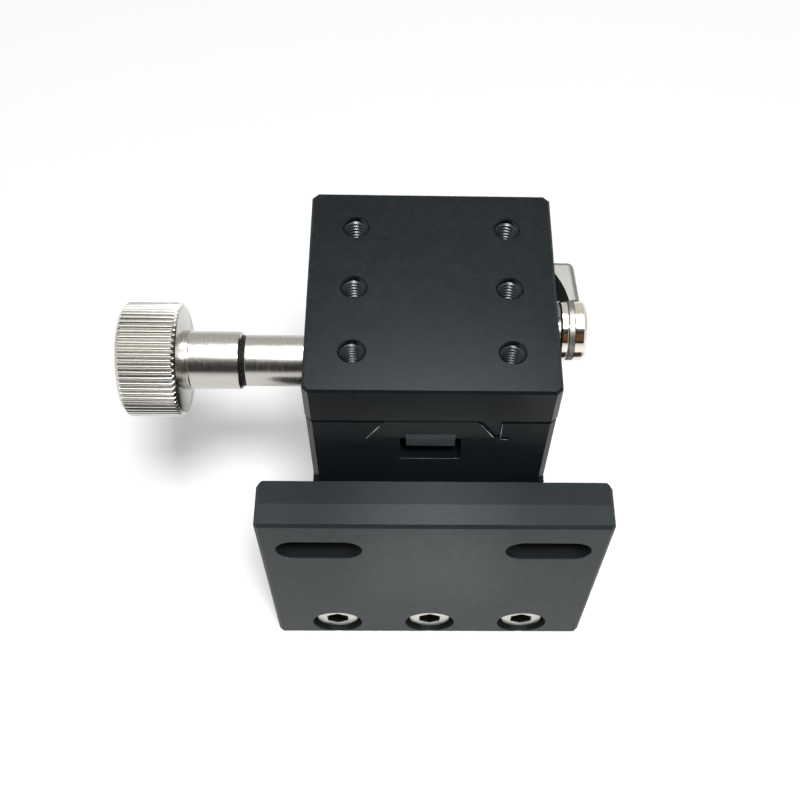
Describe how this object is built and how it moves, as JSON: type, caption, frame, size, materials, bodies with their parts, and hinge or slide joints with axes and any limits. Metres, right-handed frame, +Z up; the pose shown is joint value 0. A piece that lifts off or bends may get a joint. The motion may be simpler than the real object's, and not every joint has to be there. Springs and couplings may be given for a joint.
{
  "type": "linear translation stage",
  "caption": "Square dovetail translation stage driven by a rack, pinion and knurled knob, with a side clamp lever and an angle foot for upright mounting.",
  "frame": {"origin": "on the resting plane (the back plate's rear face), under the centre of the square table", "axes": "+Z up out of the table face, +Y along the travel away from the foot plate, +X from the knob towards the clamp lever"},
  "size_m": [0.0849, 0.0488, 0.078],
  "materials": {
    "black_anodised": "black satin anodised",
    "satin_steel": "satin stainless",
    "turned_stainless": "fine turned stainless, warm",
    "black_steel": "black oxide",
    "bronze": "sintered bronze",
    "black_rubber": "matt",
    "nickel": "bright nickel plate, slightly golden",
    "cast_lever": "blasted nickel plate"
  },
  "bodies": {
    "stage_base": {"foot_plate": "black_anodised", "foot_screws": "satin_steel", "back_plate": "black_anodised", "riser_screws": "satin_steel", "riser_block": "black_anodised", "stage_body": "black_anodised", "stage_screws": "satin_steel", "gib": "black_steel", "gib_screws": "black_steel", "travel_stop_pin": "satin_steel", "bearing_sleeve": "turned_stainless", "outer_bush": "bronze", "inner_bush": "bronze", "end_bush": "bronze", "bore_plug": "black_anodised"},
    "moving_table": {"table": "black_anodised", "rack": "satin_steel", "rack_screws": "satin_steel"},
    "knob_assembly": {"pinion_shaft": "satin_steel", "pinion": "satin_steel", "thrust_washers": "satin_steel", "friction_ring": "black_rubber", "knob_hub": "turned_stainless", "hub_set_screw": "black_steel", "knob": "turned_stainless"},
    "clamp_assembly": {"clamp_screw": "satin_steel", "clamp_collar": "nickel", "clamp_lever": "cast_lever", "clamp_cap": "nickel"}
  },
  "joints": [
    {"name": "table_slide", "type": "slide", "parent": "stage_base", "child": "moving_table", "axis": [0, 1, 0], "range_m": [-0.01, 0.01]},
    {"name": "knob_spin", "type": "hinge", "parent": "stage_base", "child": "knob_assembly", "pos_m": [0, 0, 0.0572], "axis": [1, 0, 0], "range_deg": [-115, 115]},
    {"name": "clamp_lever_turn", "type": "hinge", "parent": "stage_base", "child": "clamp_assembly", "pos_m": [0, 0, 0.0669], "axis": [1, 0, 0], "range_deg": [-60, 30]}
  ],
  "couplings": [
    {"joint": "knob_spin", "follows": "table_slide", "rad_per_m": -200}
  ]
}
